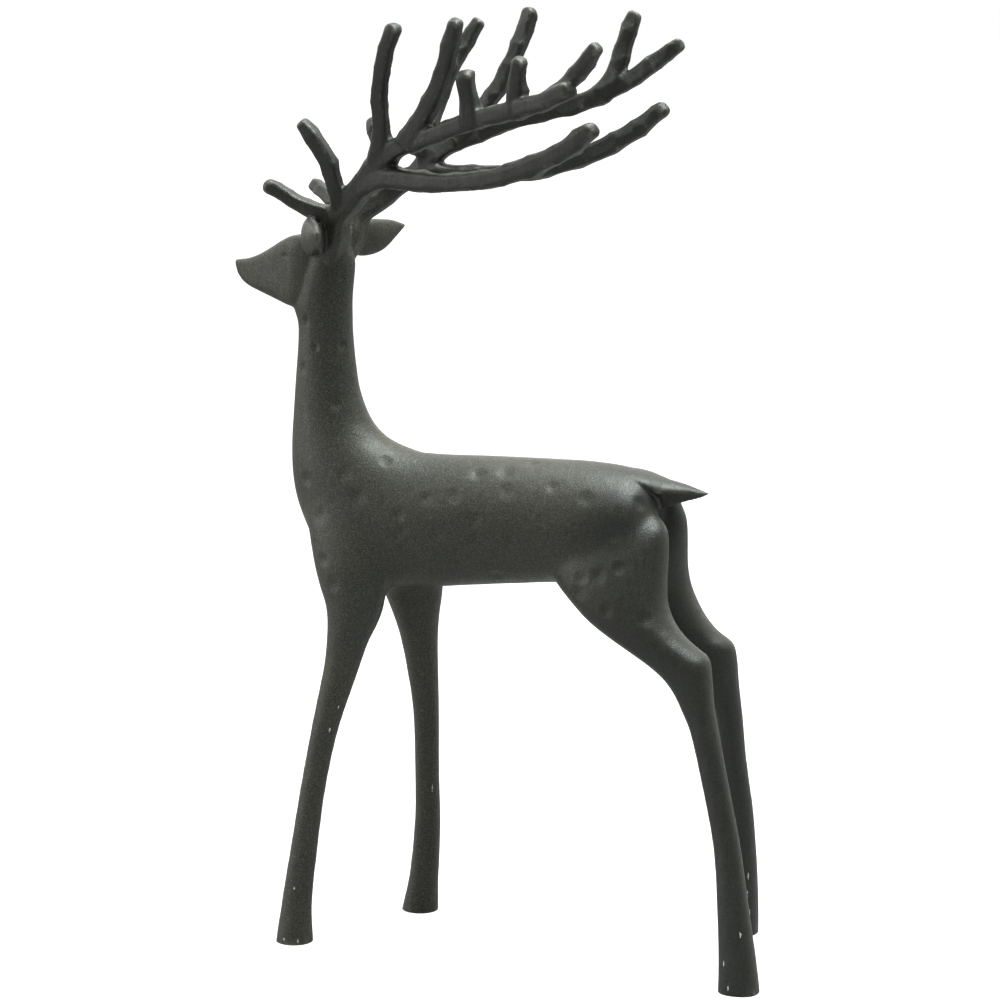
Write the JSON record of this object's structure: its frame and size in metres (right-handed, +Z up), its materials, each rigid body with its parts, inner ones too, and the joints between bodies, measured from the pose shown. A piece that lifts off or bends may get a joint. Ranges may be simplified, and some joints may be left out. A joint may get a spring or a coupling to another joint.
{
  "type": "cast iron stag statue",
  "caption": "Slender standing stag with tall branching antlers, a turned wedge-shaped head and splayed legs, cast in iron as one piece with a dark painted finish, standing on its feet.",
  "frame": {"origin": "on the floor, under the middle of the overall box", "axes": "+Z up, -X towards the muzzle, -Y towards the stag's left side"},
  "size_m": [0.3148, 0.1484, 0.5114],
  "materials": {
    "cast_iron": "dark charcoal grey painted iron, satin, with a fine cast grain and shallow hammered dimples"
  },
  "bodies": {
    "root": {"stag": "cast_iron"}
  },
  "joints": []
}
